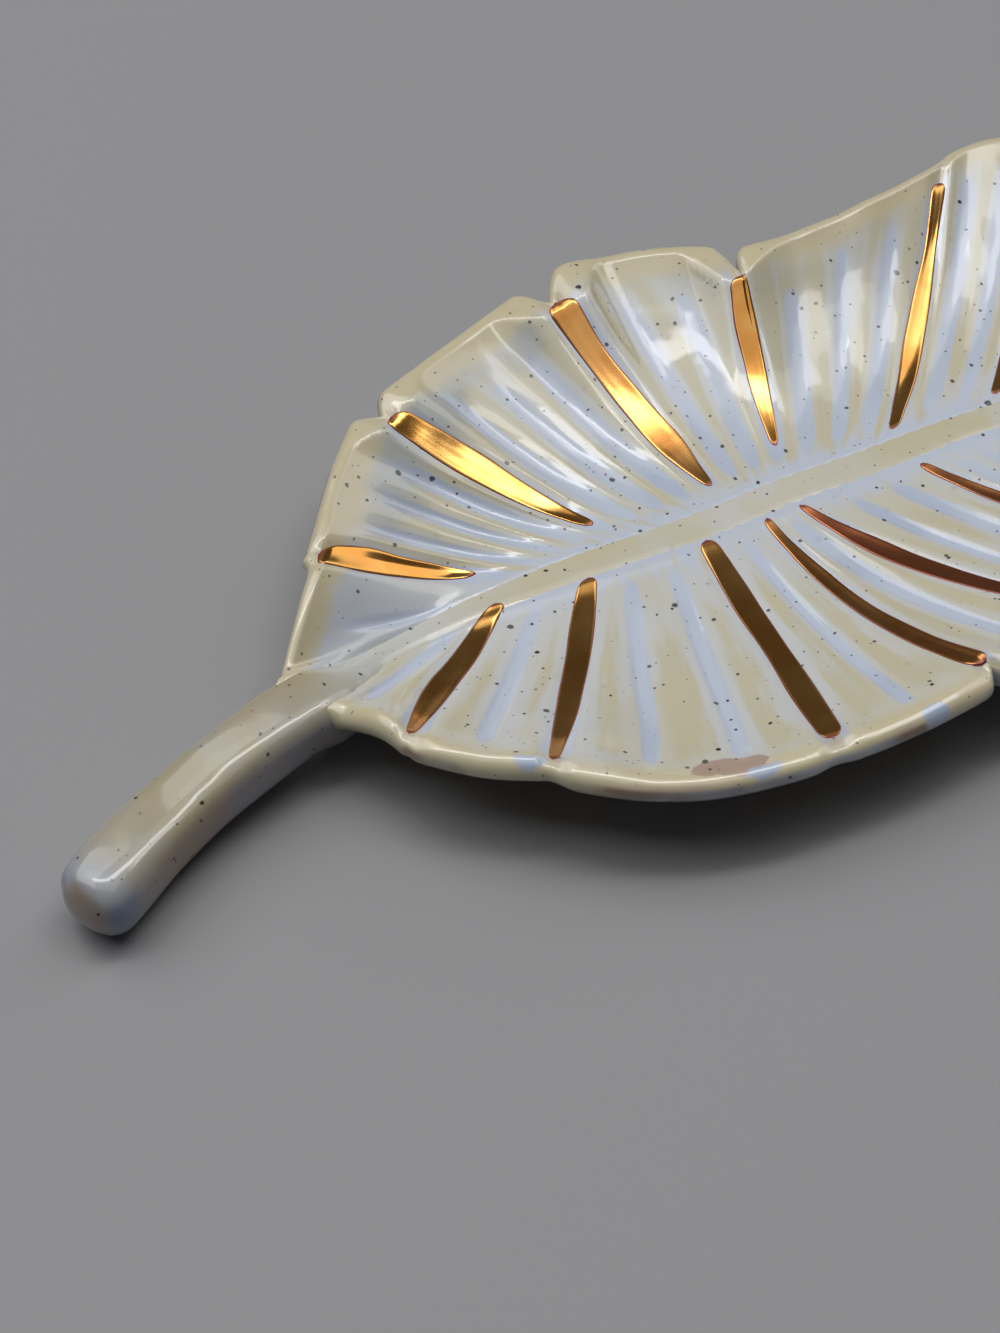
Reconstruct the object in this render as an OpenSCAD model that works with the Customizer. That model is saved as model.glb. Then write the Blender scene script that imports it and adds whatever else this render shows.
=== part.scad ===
// Leaf ring dish: a slab of glazed stoneware cut and slumped to a banana leaf, with a rolled stem
// that runs on as the midrib, carved veins, and gold lustre brushed into every main vein.
// Millimetres, +Z up. The dish rests on the flat middle of its underside, at z = 0.
// The midrib runs along X. The stem points to -X, the leaf's tip to +X, the origin is under the middle.

/* [Leaf] */
// Length of the leaf from the stem's joint to its tip
leaf_length = 182; // [165:1:205]
// Width of the leaf over its widest lobes
leaf_width = 96; // [86:1:106]
// Thickness of the clay slab
slab_thickness = 4.6; // [4:0.1:5.4]
// Height of the rim's crest above the table
rim_height = 14; // [12:0.5:18]
// Width of the smooth lip, from the ends of the plain veins to the edge
lip_width = 3.6; // [3.2:0.1:4.6]
// How much a lobe's first corner stands above the rim beside a tear
lobe_lift = 1; // [0:0.1:1.6]

/* [Veins] */
// Width of the grooves that hold the gold
gold_groove_width = 3.9; // [3.2:0.1:4.2]
// Width of the plain grooves between them
plain_groove_width = 2.8; // [2.2:0.1:3.2]
// Depth of every groove
groove_depth = 0.9; // [0.5:0.05:1.1]
// Depth of the hollow that runs along both sides of the midrib
channel_depth = 0.4; // [0.2:0.05:0.6]

/* [Stem and midrib] */
// Thickness of the rolled stem
stem_diameter = 9.4; // [8:0.1:10.2]
// Width of the midrib in the middle of the leaf
midrib_width = 6.8; // [6:0.1:7.6]
// Height of the midrib over the slab
midrib_rise = 0.8; // [0.6:0.1:1.3]

/* [Gold] */
// Height of the gold over the floor of its groove
gold_build = 0.3; // [0.2:0.05:0.4]
// Depth to which the gold is fired into the glaze
gold_bond = 0.3; // [0.25:0.05:0.4]

/* [Hidden] */

// Main veins of each side, from the stem to the tip: [root on the spine, rim x, rim y, bow to the tip].
// The first is the neck, the last the tip, and all between them carry gold. Near side y is drawn upwards.
far_veins = [
    [22, -9, -10.5, 0], [35.2, 4.5, 10.2, 1.8], [50, 24.4, 29.7, 0], [65, 56, 40.6, -0.3],
    [73.3, 83.8, 34.5, 0.6], [90, 124, 43, 0.9], [107, 142, 39.5, 1.5], [124, 160, 29, 1],
    [141, 173, 14.5, 0.5], [160, 182, 0, 0]
];
near_veins = [
    [22, -9, 10.5, 0], [27.5, 3.9, 24.3, -0.9], [41, 17.8, 36, 0.3], [58, 50.6, 49, 1.6],
    [67.5, 75, 45.5, -1.4], [72, 98, 46.5, -1.3], [91, 121, 45, -1.2], [107, 139, 39, -1.5],
    [123.5, 156, 29.5, -1], [140.5, 171, 16, 0], [160, 182, 0, 0]
];

// The lobe after each main vein: [swell at its first corner, middle and last corner, lift, plain veins]
far_lobes = [
    [0.8, -0.5, -1.2, 0, 1], [0.4, 2.2, 3.6, 0, 3], [3.3, 4.4, 4.9, 0.6, 3], [6.4, 8.2, 6.8, 1, 2],
    [3.6, 0.6, -0.3, 0.8, 3], [1.2, 3, 2.2, 0, 2], [2.8, 3.2, 2.2, 0.8, 3], [2.4, 2.6, 1.4, 0.6, 2],
    [0.8, 1.4, 0.8, 0, 1]
];
near_lobes = [
    [-3.6, -2.8, -0.5, 0, 1], [0.8, 1.3, 0.4, 0, 1], [1.9, 3.8, 1.6, 0, 2], [0.8, 2.2, 2.3, 0, 1],
    [2.6, 2.4, 1, 1, 1], [0.8, 1.6, 1, 0, 2], [1, 2.4, 2.6, 0, 3], [2.6, 3, 1.8, 0.8, 3],
    [1.4, 2, 1, 0, 2], [0.8, 1.4, 0.8, 0, 1]
];

// The drawing above is 96 wide over its widest lobes, and is stretched to the leaf's sizes
drawn_length = far_veins[len(far_veins) - 1][1];
stretch = leaf_length / drawn_length;
spread = leaf_width / 96;

// The veins start on a spine under the midrib, which is a slim ellipse
spine_start = far_veins[0][0];
spine_end = far_veins[len(far_veins) - 1][0];
spine_middle = (spine_start + spine_end) / 2;
spine_half_width = 1.6;

// Gold strokes: [bare length at the midrib's end, bare length at the rim's end]
far_gold = [[9.2, 1.8], [7, 1.8], [4.6, 1.6], [7.2, 1.6], [3.4, 5.5], [3.5, 2], [3.5, 2], [3.5, 2.4]];
near_gold = [
    [1.6, 2.4], [2, 2.2], [2, 3.4], [2.4, 1.8], [2.6, 2.6], [2.8, 3], [2.8, 2], [3, 2.2], [3, 2.6]
];

// Heights of the slab's top in the middle and at the neck, and the shape of the slump between
foot_grind = 0.3;
floor_z = slab_thickness - foot_grind;
neck_z = rim_height - 4.2;
slump_power = 1.9;
flat_share = 0.1;

// Steps of the section: out from the spine, across the slope, and in from the rim
channel_steps = [0, 1.8, 3.6, 6.4];
slope_shares = [0.24, 0.47, 0.7, 0.88];
crest_in = 2.1;
lip_steps = [lip_width + 1.8, lip_width, crest_in];
shoulder_in = 0.7;
heel_in = 0.6;
edge_drops = [0.4, 1.7, 3.3];
under_shares = [0.86, 0.6, 0.34];

// Middle of the hollow beside the midrib, out from the spine
channel_middle = 3.6;
// Share of a groove's half width that is its flat bed
bed_share = 0.45;
// A groove takes at most this share of the gap to the next one
crowding = 0.36;
// Distance over which a groove sinks to its full depth
sink_length = 4;

function mix(a, b, w) = a + (b - a) * w;
function ramp(x) = min(1, max(0, x));

// A lobe swells out between two veins, with steep round corners at both ends
corner = 0.1;
function swell(lobe, w) =
    let (
        first = lobe[0] * (w - 0.5) * (w - 1 + corner) / ((corner - 0.5) * (2 * corner - 1)),
        middle = lobe[1] * (w - corner) * (w - 1 + corner) / ((0.5 - corner) * (corner - 0.5)),
        last = lobe[2] * (w - corner) * (w - 0.5) / ((1 - 2 * corner) * (0.5 - corner)),
        end = min(w, 1 - w) / corner,
        round_off = end < 1 ? 1 - pow(1 - max(0, end), 2) : 1
    )
    (first + middle + last) * round_off;

// Where the vein at share w of lobe i starts on the spine
function root(veins, i, w) =
    let (
        x = mix(veins[i][0], veins[i + 1][0], w),
        off = (x - spine_middle) / (spine_end - spine_middle)
    )
    [x * stretch, spine_half_width * sqrt(max(0, 1 - off * off))];

// Where it ends on the rim
function rim(veins, lobes, i, w) =
    let (
        a = [veins[i][1], veins[i][2]],
        b = [veins[i + 1][1], veins[i + 1][2]],
        along = (b - a) / norm(b - a),
        p = mix(a, b, w) + swell(lobes[i], w) * [-along[1], along[0]]
    )
    [p[0] * stretch, p[1] * spread];

// Height of the rim's crest there: lower at the neck, lifted at a torn lobe's first corner
function crest_z(lobes, i, w) =
    (i == 0 ? mix(neck_z, rim_height, ramp(w * 1.25)) : rim_height)
    + lobe_lift * lobes[i][3] * exp(-pow((w - 0.14) / 0.14, 2));

// Height of the slumped slab's top at distance m from the spine on a vein of the given length
function slump_z(m, length, top) =
    let (flat = flat_share * length)
    floor_z + (top - floor_z) * pow(ramp((m - flat) / (length - crest_in - flat)), slump_power);

// Share across lobe i of a groove's line: its middle at share w, moved by side half widths, at share s
// of the way out. Grooves narrow where the veins crowd together at the spine.
function line_share(veins, lobes, i, line, s) =
    let (
        at_root = veins[i + 1][0] - veins[i][0],
        at_rim = norm([veins[i + 1][1] - veins[i][1], veins[i + 1][2] - veins[i][2]]),
        gap = mix(at_root, at_rim, s),
        half = (line[2] ? gold_groove_width : plain_groove_width) / 2
    )
    line[0] + line[1] * min(half / gap, crowding / (lobes[i][4] + 1));

// How deep a groove is cut there: gold ones run out over the lip, plain ones stop before it
function cut(m, d, gold) =
    groove_depth * ramp((m - 1.4) / sink_length) * ramp(gold ? (d + 1.2) / 3 : (d - lip_width) / 3);

// The hollow beside the midrib
function channel(m) = channel_depth * ramp(1 - abs(m - channel_middle) / 2.8);

// A point on the slab's top. A column is [lobe, lines, depth share, gold]. It follows its line
// [share w, side, gold], or runs midway between two of them. m is the distance out from the spine,
// or in from the rim where from_rim is true.
function top_point(veins, lobes, column, m, from_rim = false) =
    let (
        i = column[0],
        lines = column[1],
        last = len(lines) - 1,
        middle = (lines[0][0] + lines[last][0]) / 2,
        rough = norm(rim(veins, lobes, i, middle) - root(veins, i, middle)),
        s = ramp((from_rim ? rough - m : m) / rough),
        w = (line_share(veins, lobes, i, lines[0], s) + line_share(veins, lobes, i, lines[last], s)) / 2,
        from = root(veins, i, w),
        to = rim(veins, lobes, i, w),
        length = norm(to - from),
        out = from_rim ? length - m : m,
        share = out / length,
        along = (to - from) / length,
        bow = spread * mix(veins[i][3], veins[i + 1][3], w) * 4 * share * (1 - share)
    )
    [
        from[0] + (to[0] - from[0]) * share + bow * along[1],
        from[1] + (to[1] - from[1]) * share - bow * along[0],
        slump_z(out, length, crest_z(lobes, i, w)) - column[2] * cut(out, length - out, column[3]) - channel(out),
        length,
        crest_z(lobes, i, w)
    ];

// A whole column of the slab's skin: over the top, round the lip and back under to the middle
function skin_column(veins, lobes, column) =
    let (
        length = top_point(veins, lobes, column, 0)[3],
        inner = channel_steps[len(channel_steps) - 1],
        outer = length - lip_steps[0],
        smooth = [column[0], column[1], 0, column[3]],
        edge = top_point(veins, lobes, smooth, 0, true),
        shoulder = top_point(veins, lobes, smooth, shoulder_in, true),
        heel = top_point(veins, lobes, smooth, crest_in + heel_in, true),
        under = [for (k = under_shares) top_point(veins, lobes, smooth, k * (length - crest_in))]
    )
    concat(
        [for (m = channel_steps) top_point(veins, lobes, column, m)],
        [for (k = slope_shares) top_point(veins, lobes, column, mix(inner, outer, k))],
        [for (d = lip_steps) top_point(veins, lobes, column, d, true)],
        [
            [shoulder[0], shoulder[1], shoulder[4] - edge_drops[0] - 0.5 * column[2] * cut(sink_length * 2, 0, column[3])],
            [edge[0], edge[1], edge[4] - edge_drops[1]],
            [shoulder[0], shoulder[1], shoulder[4] - edge_drops[2]],
            [heel[0], heel[1], heel[2] - slab_thickness]
        ],
        [
            for (k = [0 : len(under) - 1])
                [
                    under[k][0], under[k][1],
                    slump_z(under_shares[k] * (length - crest_in), length, under[k][4]) - slab_thickness
                ]
        ],
        [for (p = [top_point(veins, lobes, smooth, 0)]) [p[0], p[1], floor_z - slab_thickness]]
    );

// The columns of one lobe: half a gold groove, ridges and plain grooves, half a gold groove
function lobe_columns(lobes, i, last) =
    let (
        plains = lobes[i][4],
        gap = 1 / (plains + 1),
        start = i == 0 ? [0, 0, false] : [0, 1, true],
        end = i == last ? [1, 0, false] : [1, -1, true]
    )
    concat(
        i == 0 ? [] : [[i, [[0, bed_share, true]], 1, true], [i, [start], 0, true]],
        [
            for (k = [0 : plains])
                let (
                    before = k == 0 ? start : [k * gap, 1, false],
                    after = k == plains ? end : [(k + 1) * gap, -1, false]
                )
                each concat(
                    [[i, [before, after], 0, false]],
                    k == plains ? [] : [
                        for (side = [-1 : 1]) [i, [[(k + 1) * gap, side, false]], 1 - abs(side), false]
                    ]
                )
        ],
        i == last ? [] : [[i, [end], 0, true], [i, [[1, -bed_share, true]], 1, true]]
    );
function side_columns(lobes) =
    [for (i = [0 : len(lobes) - 1]) each lobe_columns(lobes, i, len(lobes) - 1)];
neck_column = [0, [[0, 0, false]], 0, false];
function tip_column(lobes) = [len(lobes) - 1, [[1, 0, false]], 0, false];

function mirrored(points) = [for (p = points) [p[0], -p[1], p[2]]];
function placed(points) = [for (p = points) [p[0] - spine_middle * stretch, p[1], p[2]]];
function reversed(list) = [for (i = [len(list) - 1 : -1 : 0]) list[i]];

// A skin from rings of equal length, each joined to the next, with both ends or none closed
function band(rings, steps, closed) =
    [
        for (i = [0 : rings - (closed ? 1 : 2)], k = [0 : steps - 2])
            let (a = i * steps + k, b = ((i + 1) % rings) * steps + k)
            each [[a, a + 1, b + 1], [a, b + 1, b]]
    ];

module leaf_slab() {
    far = [
        for (c = concat([neck_column], side_columns(far_lobes), [tip_column(far_lobes)]))
            skin_column(far_veins, far_lobes, c)
    ];
    near = [
        for (c = reversed(side_columns(near_lobes)))
            mirrored(skin_column(near_veins, near_lobes, c))
    ];
    columns = concat(far, near);
    steps = len(columns[0]);
    rings = len(columns);
    faces = concat(
        band(rings, steps, true),
        [[for (i = [0 : rings - 1]) i * steps]],
        [[for (i = [rings - 1 : -1 : 0]) i * steps + steps - 1]]
    );
    color([0.75, 0.74, 0.66])
    difference() {
        polyhedron(placed([for (c = columns) each [for (p = c) [p[0], p[1], p[2]]]]), faces);
        translate([-leaf_length, -leaf_width, -slab_thickness])
            cube([2 * leaf_length, 2 * leaf_width, slab_thickness]);
    }
}

// The stem and midrib, blunt end to tip: [x, y, height of its middle, half width, half height, softness].
// The coil is round at softness 1, squarer below it, and above it a low swelling with soft feet.
stem_r = stem_diameter / 2;
rib = midrib_width / 2;
// The midrib's feet stand in the hollow along its sides
rib_z = floor_z - channel_depth;
rib_height = midrib_rise + channel_depth;
function tip_z(x) = slump_z((x - spine_end) * stretch, (drawn_length - spine_end) * stretch, rim_height);
stem_route = [
    [-39.6, -24.7, stem_r + 0.7, stem_r * 0.45, stem_r * 0.42, 0.86],
    [-38.9, -24.3, stem_r + 0.7, stem_r * 0.86, stem_r * 0.82, 0.86],
    [-37.2, -23.3, stem_r + 0.7, stem_r * 1.08, stem_r * 1.03, 0.86],
    [-34, -21.1, stem_r + 0.75, stem_r * 1.12, stem_r * 1.06, 0.86],
    [-28, -17.5, stem_r + 0.9, stem_r * 1.06, stem_r * 1.02, 0.86],
    [-20, -13.9, stem_r + 1.4, stem_r, stem_r * 0.98, 0.86],
    [-12, -11.3, stem_r + 2.3, stem_r, stem_r * 0.96, 0.86],
    [-5, -9.5, stem_r + 2.9, stem_r, stem_r * 0.9, 0.86],
    [0, -8.4, stem_r + 1.9, stem_r * 1.02, stem_r * 0.98, 0.9],
    [5, -6, stem_r + 0.2, stem_r * 0.8, stem_r * 0.76, 1.1],
    [10, -3.5, rib_z + 0.7, rib - 0.8, rib_height + 0.7, 1.3],
    [17, -1.6, rib_z + 0.2, rib - 0.9, rib_height + 0.3, 1.5],
    [26, -0.3, rib_z, rib - 0.7, rib_height + 0.1, 1.6],
    [37, 0.1, rib_z, rib - 0.2, rib_height, 1.6],
    [60, -0.1, rib_z, rib + 0.2, rib_height, 1.6],
    [90, 0, rib_z, rib + 0.2, rib_height, 1.6],
    [120, 0.2, rib_z, rib - 0.2, rib_height, 1.6],
    [146, 0, rib_z, rib - 0.7, rib_height, 1.5],
    [160, 0, rib_z, rib - 1.1, rib_height, 1.4],
    [168, 0, tip_z(168) - channel_depth, rib - 1.6, rib_height, 1.2],
    [174.5, 0, tip_z(174.5) - channel_depth, rib - 2.1, midrib_rise, 1]
];
ring_sides = 12;
rings_per_leg = 2;

function bend(p0, p1, p2, p3, w) =
    0.5 * (2 * p1 + (p2 - p0) * w + (2 * p0 - 5 * p1 + 4 * p2 - p3) * w * w
    + (3 * p1 - p0 - 3 * p2 + p3) * w * w * w);
function route_at(route, i, w) =
    let (n = len(route) - 1)
    bend(route[max(0, i - 1)], route[i], route[min(n, i + 1)], route[min(n, i + 2)], w);
function shaped(v, power) = sign(v) * pow(abs(v), power);

module stem_midrib() {
    legs = len(stem_route) - 1;
    path = [
        for (i = [0 : legs - 1], k = [0 : rings_per_leg - 1])
            route_at(stem_route, i, k / rings_per_leg)
    ];
    whole = concat(path, [stem_route[legs]]);
    count = len(whole);
    points = [
        for (i = [0 : count - 1])
            let (
                p = whole[i],
                ahead = whole[min(count - 1, i + 1)] - whole[max(0, i - 1)],
                flat = norm([ahead[0], ahead[1]]),
                side = [-ahead[1], ahead[0]] / flat
            )
            for (k = [0 : ring_sides - 1])
                let (
                    across = p[3] * shaped(cos(360 * k / ring_sides), min(1, p[5])),
                    up = p[4] * shaped(sin(360 * k / ring_sides), p[5])
                )
                [p[0] * stretch + across * side[0], p[1] * spread + across * side[1], p[2] + up]
    ];
    faces = concat(
        [
            for (i = [0 : count - 2], k = [0 : ring_sides - 1])
                let (
                    a = i * ring_sides,
                    b = a + ring_sides,
                    next = (k + 1) % ring_sides
                )
                each [[a + k, b + next, a + next], [a + k, b + k, b + next]]
        ],
        [[for (k = [0 : ring_sides - 1]) k], [for (k = [ring_sides - 1 : -1 : 0]) (count - 1) * ring_sides + k]]
    );
    color([0.72, 0.71, 0.6]) polyhedron(placed(points), faces);
}

// One stroke of lustre in the groove of main vein v: a thin film that climbs the groove's sides,
// pointed at both ends, fired into the glaze below it.
film_steps = 8;
film_across = [-0.86, -bed_share, bed_share, 0.86];
function film_taper(t) = pow(max(0, 1 - pow(abs(2 * t - 1), 3.2)), 0.5);
function film_points(veins, lobes, v, bare, up) =
    let (
        length = top_point(veins, lobes, [v, [[0, 0, true]], 0, true], 0)[3],
        start = bare[0],
        end = length - bare[1]
    )
    [
        for (j = [0 : film_steps])
            let (t = mix(0.012, 0.988, j / film_steps), m = mix(start, end, (1 - cos(180 * t)) / 2 * 0.4 + t * 0.6))
            for (f = film_across)
                let (
                    side = f * film_taper(mix(0.02, 0.98, t)),
                    bed = ramp((1 - abs(side)) / (1 - bed_share)),
                    lobe = f < 0 ? v - 1 : v,
                    share = f < 0 ? 1 : 0,
                    p = top_point(veins, lobes, [lobe, [[share, side, true]], bed, true], m)
                )
                [p[0], p[1], p[2] + up]
    ];

module gold_stroke(veins, lobes, v, bare, near) {
    across = len(film_across);
    top = film_points(veins, lobes, v, bare, gold_build);
    under = film_points(veins, lobes, v, bare, -gold_bond);
    count = len(top);
    last = film_steps * across;
    sheet = [
        for (j = [0 : film_steps - 1], k = [0 : across - 2])
            let (a = j * across + k)
            each [[a, a + across + 1, a + 1], [a, a + across, a + across + 1]]
    ];
    sides = [
        for (j = [0 : film_steps - 1])
            let (a = j * across, b = a + across - 1)
            each [
                [a, a + count, a + across + count], [a, a + across + count, a + across],
                [b, b + across + count, b + count], [b, b + across, b + across + count]
            ]
    ];
    ends = [
        for (k = [0 : across - 2])
            each [
                [k, k + 1, k + 1 + count], [k, k + 1 + count, k + count],
                [last + k, last + k + 1 + count, last + k + 1], [last + k, last + k + count, last + k + 1 + count]
            ]
    ];
    below = [for (f = sheet) [f[0] + count, f[2] + count, f[1] + count]];
    all = concat(sheet, below, sides, ends);
    points = concat(top, under);
    color([0.78, 0.58, 0.22])
    polyhedron(placed(near ? mirrored(points) : points), near ? [for (f = all) reversed(f)] : all);
}
module gold_far(i) gold_stroke(far_veins, far_lobes, i, far_gold[i - 1], false);
module gold_near(i) gold_stroke(near_veins, near_lobes, i, near_gold[i - 1], true);

leaf_slab();
stem_midrib();
for (i = [1 : 8]) gold_far(i);
for (i = [1 : 9]) gold_near(i);
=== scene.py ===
# %% [markdown]
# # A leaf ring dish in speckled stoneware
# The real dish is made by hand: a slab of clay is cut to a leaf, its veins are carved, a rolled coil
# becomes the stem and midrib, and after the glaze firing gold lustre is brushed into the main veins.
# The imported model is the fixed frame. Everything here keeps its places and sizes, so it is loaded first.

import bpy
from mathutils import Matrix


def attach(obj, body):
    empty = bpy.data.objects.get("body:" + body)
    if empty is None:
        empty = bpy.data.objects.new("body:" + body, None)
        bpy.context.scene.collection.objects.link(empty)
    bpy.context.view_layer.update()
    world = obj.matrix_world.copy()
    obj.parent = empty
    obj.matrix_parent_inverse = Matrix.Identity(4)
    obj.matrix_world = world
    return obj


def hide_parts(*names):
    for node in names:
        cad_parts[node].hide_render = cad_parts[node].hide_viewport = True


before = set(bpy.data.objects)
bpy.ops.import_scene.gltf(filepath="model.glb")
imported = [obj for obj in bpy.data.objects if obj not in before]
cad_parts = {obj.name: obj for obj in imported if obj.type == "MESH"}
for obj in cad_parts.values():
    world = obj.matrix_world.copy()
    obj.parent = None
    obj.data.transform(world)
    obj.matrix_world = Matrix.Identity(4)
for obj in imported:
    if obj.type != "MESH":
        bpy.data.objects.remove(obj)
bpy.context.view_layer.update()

# %% [markdown]
# ## The drawing of the leaf
# A potter draws the leaf before cutting it: where each main vein starts at the midrib, where it meets
# the edge, and how the edge swells between two veins. These are the same drawn millimetres as in the
# solid model. Working from the drawing, and not from the finished mesh, lets every piece below lie on
# one common surface, as gold does on glaze.

# %% Veins and lobes
import math

import bmesh
import bpy
import numpy as np
from mathutils import Vector, noise
from mathutils.bvhtree import BVHTree

MM = 0.001
# Both ends of the spine under the midrib, and its half width
SPINE_START, SPINE_END, SPINE_HALF_WIDTH = 22.0, 160.0, 1.6
SPINE_MIDDLE = (SPINE_START + SPINE_END) / 2

# A vein is its root along the spine, its end on the rim in x and y, and its bow towards the tip
far_veins = np.array([
    [22, -9, -10.5, 0], [35.2, 4.5, 10.2, 1.8], [50, 24.4, 29.7, 0], [65, 56, 40.6, -0.3],
    [73.3, 83.8, 34.5, 0.6], [90, 124, 43, 0.9], [107, 142, 39.5, 1.5], [124, 160, 29, 1],
    [141, 173, 14.5, 0.5], [160, 182, 0, 0]])
near_veins = np.array([
    [22, -9, 10.5, 0], [27.5, 3.9, 24.3, -0.9], [41, 17.8, 36, 0.3], [58, 50.6, 49, 1.6],
    [67.5, 75, 45.5, -1.4], [72, 98, 46.5, -1.3], [91, 121, 45, -1.2], [107, 139, 39, -1.5],
    [123.5, 156, 29.5, -1], [140.5, 171, 16, 0], [160, 182, 0, 0]])
# A lobe is its swell at the first corner, middle and last corner, its lift, and its plain veins
far_lobes = np.array([
    [0.8, -0.5, -1.2, 0, 1], [0.4, 2.2, 3.6, 0, 3], [3.3, 4.4, 4.9, 0.6, 3], [6.4, 8.2, 6.8, 1, 2],
    [3.6, 0.6, -0.3, 0.8, 3], [1.2, 3, 2.2, 0, 2], [2.8, 3.2, 2.2, 0.8, 3], [2.4, 2.6, 1.4, 0.6, 2],
    [0.8, 1.4, 0.8, 0, 1]])
near_lobes = np.array([
    [-3.6, -2.8, -0.5, 0, 1], [0.8, 1.3, 0.4, 0, 1], [1.9, 3.8, 1.6, 0, 2], [0.8, 2.2, 2.3, 0, 1],
    [2.6, 2.4, 1, 1, 1], [0.8, 1.6, 1, 0, 2], [1, 2.4, 2.6, 0, 3], [2.6, 3, 1.8, 0.8, 3],
    [1.4, 2, 1, 0, 2], [0.8, 1.4, 0.8, 0, 1]])
sides = {"far": (far_veins, far_lobes, 1), "near": (near_veins, near_lobes, -1)}
print("main veins with gold:", len(far_veins) - 2, "far and", len(near_veins) - 2, "near")

# %% [markdown]
# ## One surface for the whole leaf
# Each point of the leaf is found from its lobe, its share across the lobe, and its share of the way
# out from the midrib to the rim. The slab slumps in its mould, so the height grows with a power of the
# way out. All of it is worked on arrays, so that a dense mesh costs no time.

# %% The plan of a lobe
def mix(a, b, w):
    return a + (b - a) * w


def ramp(x):
    return np.clip(x, 0, 1)


def smooth(x):
    return ramp(x) ** 2 * (3 - 2 * ramp(x))


def swell(lobe, w, corner=0.1):
    """How far the rim of a lobe stands out at share w: a curve through its corners and its middle."""
    first = lobe[..., 0] * (w - 0.5) * (w - 1 + corner) / ((corner - 0.5) * (2 * corner - 1))
    middle = lobe[..., 1] * (w - corner) * (w - 1 + corner) / ((0.5 - corner) * (corner - 0.5))
    last = lobe[..., 2] * (w - corner) * (w - 0.5) / ((1 - 2 * corner) * (0.5 - corner))
    end = np.minimum(w, 1 - w) / corner
    return (first + middle + last) * np.where(end < 1, 1 - (1 - np.maximum(end, 0)) ** 2, 1)


def vein_line(side, lobe, w):
    """Root and rim points of the vein at share w of a lobe, and its length."""
    veins, lobes, _ = sides[side]
    a, b = veins[lobe], veins[lobe + 1]
    root_x = mix(a[..., 0], b[..., 0], w)
    off = (root_x - SPINE_MIDDLE) / (SPINE_END - SPINE_MIDDLE)
    root_y = SPINE_HALF_WIDTH * np.sqrt(np.maximum(0, 1 - off ** 2))
    rim_a, rim_b = a[..., 1:3], b[..., 1:3]
    along = (rim_b - rim_a) / np.linalg.norm(rim_b - rim_a, axis=-1, keepdims=True)
    out = swell(lobes[lobe], w)[..., None]
    rim = mix(rim_a, rim_b, np.asarray(w)[..., None]) + out * np.stack([-along[..., 1], along[..., 0]], -1)
    root = np.stack([root_x, root_y], -1)
    return root, rim, np.linalg.norm(rim - root, axis=-1)


def place(side, lobe, w, out):
    """Plan position at a distance out from the spine along a vein, and the vein's length."""
    root, rim, length = vein_line(side, lobe, w)
    share = out / length
    along = (rim - root) / length[..., None]
    veins = sides[side][0]
    bow = mix(veins[lobe][..., 3], veins[lobe + 1][..., 3], w) * 4 * share * (1 - share)
    x = mix(root[..., 0], rim[..., 0], share) + bow * along[..., 1]
    y = mix(root[..., 1], rim[..., 1], share) - bow * along[..., 0]
    return x, y, length


widest = place("near", np.array(3), np.array(0.5), np.array(1.0))[2]
print("the widest lobe is", round(float(widest), 1), "mm long from the midrib to the rim")

# %% The height of the slumped slab
SLAB_THICKNESS, FOOT_GRIND, RIM_HEIGHT, NECK_RIM = 4.6, 0.3, 14.0, 8.8
FLOOR_Z = SLAB_THICKNESS - FOOT_GRIND
# How far in from the edge the lip's crest lies
CREST_IN = 2.1
# The slab lies flat for this share of the way out, and then rises with this power
FLAT_SHARE, SLUMP_POWER = 0.1, 1.9
# The rim climbs from the neck over the first lobe, and a lobe's lift is highest at this share of it
NECK_CLIMB, LIFT_AT, LIFT_REACH = 1.1, 0.14, 0.14
# Share of a lobe over which a torn corner lies flat, and over which that fades
CORNER_FLAT, CORNER_FADE = 0.05, 0.25


def crest_z(side, lobe, w):
    """Height of the lip's crest."""
    climb = mix(NECK_RIM, RIM_HEIGHT, smooth(w * NECK_CLIMB))
    lift = sides[side][1][lobe][..., 3] * np.exp(-((w - LIFT_AT) / LIFT_REACH) ** 2)
    return np.where(lobe == 0, climb, RIM_HEIGHT) + lift


def slump_z(m, length, top):
    """Height of the slab's top at m millimetres out on a line of this length."""
    flat = FLAT_SHARE * length
    return FLOOR_Z + (top - FLOOR_Z) * ramp((m - flat) / (length - CREST_IN - flat)) ** SLUMP_POWER


def rise_length(side, lobe, w, length):
    """The length that sets a line's height: a torn corner reaches further out, but does not sag."""
    beyond = np.maximum(swell(sides[side][1][lobe], w), 0)
    return length - beyond * (1 - smooth((np.minimum(w, 1 - w) - CORNER_FLAT) / CORNER_FADE))


print("the floor lies", FLOOR_Z, "mm up, the rim", RIM_HEIGHT, "mm")

# %% The width and depth of each groove
GOLD_GROOVE, PLAIN_GROOVE = 3.9, 2.8
# A groove takes at most this share of the gap to the next one
CROWDING = 0.36
# A gold groove runs out over the lip: where it starts, in from the rim, and over how much it sinks
GOLD_START, GOLD_FADE = -1.2, 3.0
# Depth that the glaze left in a gold vein, and in the far veins past this number
GOLD_BED, FILLED_BED, LAST_DEEP_VEIN = 0.55, 0.3, 2
# How full the brush was in each gold vein, as a share of the full groove width
gold_fullness = {"far": [1.15, 1.08, 0.86, 1.18, 1.26, 1.0, 0.85, 0.7],
                 "near": [1.1, 0.92, 1.04, 0.96, 0.96, 0.86, 0.8, 0.76, 0.7]}
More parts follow.
